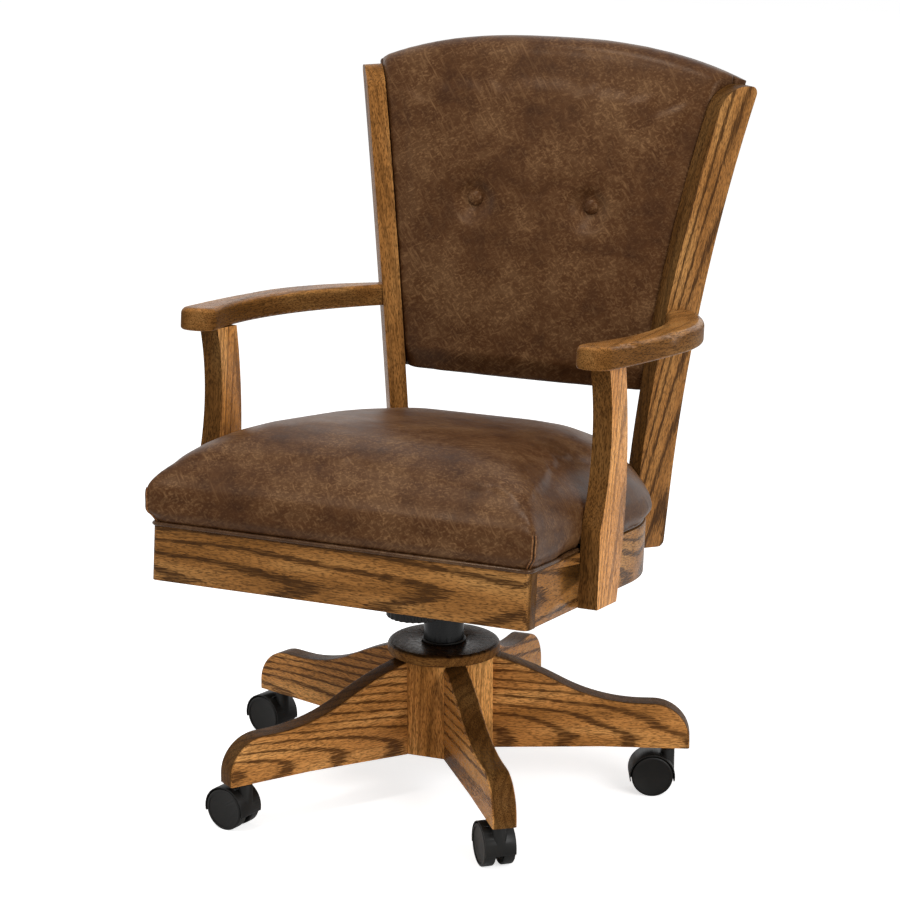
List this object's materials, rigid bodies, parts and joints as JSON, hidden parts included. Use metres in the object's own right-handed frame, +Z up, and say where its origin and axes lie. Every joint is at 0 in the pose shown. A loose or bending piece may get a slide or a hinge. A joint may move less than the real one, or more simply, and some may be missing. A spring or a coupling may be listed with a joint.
{
  "type": "swivel desk chair",
  "caption": "Swivel desk chair with a carved wooden star base on casters, gas-lift column, tilting wooden seat frame with arms, domed leather seat and buttoned leather back.",
  "frame": {"origin": "on the floor, on the swivel axis", "axes": "+Z up along the column, the chair faces -Y, +X is the sitter's left"},
  "size_m": [0.6174, 0.6861, 0.9096],
  "materials": {
    "oak": "stained brown, satin lacquer",
    "plywood": "raw",
    "leather": "dark brown, mottled, soft sheen",
    "black_nylon": "satin moulded",
    "black_steel": "black enamel",
    "bare_steel": "zinc plated"
  },
  "bodies": {
    "base": {"hub_block": "oak", "hub_cap": "oak", "leg_1": "oak", "leg_2": "oak", "leg_3": "oak", "leg_4": "oak", "leg_5": "oak", "column_tube": "black_steel", "column_collar": "black_nylon", "column_bush": "black_nylon", "caster_sockets": "bare_steel"},
    "rod": {"piston_rod": "bare_steel", "rod_clip": "bare_steel"},
    "lift": {"lift_cylinder": "bare_steel", "mech_housing": "black_steel", "pivot_pin": "bare_steel"},
    "release": {"release_pin": "bare_steel"},
    "knob": {"tension_knob": "black_nylon"},
    "lever": {"height_lever": "black_steel", "lever_paddle": "black_nylon"},
    "seat": {"front_rail": "oak", "side_rail_left": "oak", "side_rail_right": "oak", "rear_rail": "oak", "seat_board": "plywood", "corner_blocks": "plywood", "seat_cushion": "leather", "seat_piping": "leather", "post_left": "oak", "post_right": "oak", "arm_left": "oak", "arm_right": "oak", "stile_left": "oak", "stile_right": "oak", "back_board": "leather", "back_pad": "leather", "back_buttons": "leather", "seat_plate": "black_steel", "plate_screws": "bare_steel", "frame_screws": "bare_steel"},
    "caster_1": {"caster_hood_1": "black_nylon", "caster_pins_1": "bare_steel"},
    "roller_a_1": {"wheel_a_1": "black_nylon"},
    "roller_b_1": {"wheel_b_1": "black_nylon"},
    "caster_2": {"caster_hood_2": "black_nylon", "caster_pins_2": "bare_steel"},
    "roller_a_2": {"wheel_a_2": "black_nylon"},
    "roller_b_2": {"wheel_b_2": "black_nylon"},
    "caster_3": {"caster_hood_3": "black_nylon", "caster_pins_3": "bare_steel"},
    "roller_a_3": {"wheel_a_3": "black_nylon"},
    "roller_b_3": {"wheel_b_3": "black_nylon"},
    "caster_4": {"caster_hood_4": "black_nylon", "caster_pins_4": "bare_steel"},
    "roller_a_4": {"wheel_a_4": "black_nylon"},
    "roller_b_4": {"wheel_b_4": "black_nylon"},
    "caster_5": {"caster_hood_5": "black_nylon", "caster_pins_5": "bare_steel"},
    "roller_a_5": {"wheel_a_5": "black_nylon"},
    "roller_b_5": {"wheel_b_5": "black_nylon"}
  },
  "joints": [
    {"name": "seat_swivel", "type": "hinge", "parent": "base", "child": "rod", "pos_m": [0, 0, 0.06], "axis": [0, 0, 1], "continuous": true},
    {"name": "seat_lift", "type": "slide", "parent": "rod", "child": "lift", "axis": [0, 0, 1], "range_m": [0, 0.1]},
    {"name": "seat_tilt", "type": "hinge", "parent": "lift", "child": "seat", "pos_m": [0, 0.03067, 0.30182], "axis": [-1, 0, 0], "range_deg": [0, 12], "stiffness_Nm_per_rad": 60, "springref_deg": -11.46},
    {"name": "tension_turn", "type": "hinge", "parent": "lift", "child": "knob", "pos_m": [0, -0.084, 0.257], "axis": [0, 0, 1], "range_deg": [0, 720]},
    {"name": "lever_lift", "type": "hinge", "parent": "lift", "child": "lever", "pos_m": [-0.044, -0.028, 0.297], "axis": [0, 1, 0], "range_deg": [0, 6], "stiffness_Nm_per_rad": 1, "springref_deg": -11.46},
    {"name": "release_press", "type": "slide", "parent": "lift", "child": "release", "axis": [0, 0, -1], "range_m": [0, 0.005]},
    {"name": "caster_swivel_1", "type": "hinge", "parent": "base", "child": "caster_1", "pos_m": [0.17167, -0.22373, 0.0627], "axis": [0, 0, 1], "continuous": true},
    {"name": "roll_a_1", "type": "hinge", "parent": "caster_1", "child": "roller_a_1", "pos_m": [0.15858, -0.20861, 0.026], "axis": [-0.7559, -0.6547, 0], "continuous": true},
    {"name": "roll_b_1", "type": "hinge", "parent": "caster_1", "child": "roller_b_1", "pos_m": [0.15858, -0.20861, 0.026], "axis": [-0.7559, -0.6547, 0], "continuous": true},
    {"name": "caster_swivel_2", "type": "hinge", "parent": "base", "child": "caster_2", "pos_m": [0.26582, 0.09413, 0.0627], "axis": [0, 0, 1], "continuous": true},
    {"name": "roll_a_2", "type": "hinge", "parent": "caster_2", "child": "roller_a_2", "pos_m": [0.24757, 0.08597, 0.026], "axis": [0.4083, -0.9128, 0], "continuous": true},
    {"name": "roll_b_2", "type": "hinge", "parent": "caster_2", "child": "roller_b_2", "pos_m": [0.24757, 0.08597, 0.026], "axis": [0.4083, -0.9128, 0], "continuous": true},
    {"name": "caster_swivel_3", "type": "hinge", "parent": "base", "child": "caster_3", "pos_m": [-0.00738, 0.2819, 0.0627], "axis": [0, 0, 1], "continuous": true},
    {"name": "roll_a_3", "type": "hinge", "parent": "caster_3", "child": "roller_a_3", "pos_m": [0.00262, 0.29922, 0.026], "axis": [-0.866, 0.5, 0], "continuous": true},
    {"name": "roll_b_3", "type": "hinge", "parent": "caster_3", "child": "roller_b_3", "pos_m": [0.00262, 0.29922, 0.026], "axis": [-0.866, 0.5, 0], "continuous": true},
    {"name": "caster_swivel_4", "type": "hinge", "parent": "base", "child": "caster_4", "pos_m": [-0.27039, 0.08009, 0.0627], "axis": [0, 0, 1], "continuous": true},
    {"name": "roll_a_4", "type": "hinge", "parent": "caster_4", "child": "roller_a_4", "pos_m": [-0.28971, 0.08527, 0.026], "axis": [-0.2588, -0.9659, 0], "continuous": true},
    {"name": "roll_b_4", "type": "hinge", "parent": "caster_4", "child": "roller_b_4", "pos_m": [-0.28971, 0.08527, 0.026], "axis": [-0.2588, -0.9659, 0], "continuous": true},
    {"name": "caster_swivel_5", "type": "hinge", "parent": "base", "child": "caster_5", "pos_m": [-0.15973, -0.2324, 0.0627], "axis": [0, 0, 1], "continuous": true},
    {"name": "roll_a_5", "type": "hinge", "parent": "caster_5", "child": "roller_a_5", "pos_m": [-0.17936, -0.22859, 0.026], "axis": [-0.1908, -0.9816, 0], "continuous": true},
    {"name": "roll_b_5", "type": "hinge", "parent": "caster_5", "child": "roller_b_5", "pos_m": [-0.17936, -0.22859, 0.026], "axis": [-0.1908, -0.9816, 0], "continuous": true}
  ],
  "couplings": [
    {"joint": "release_press", "follows": "lever_lift", "m_per_rad": 0.0477}
  ]
}
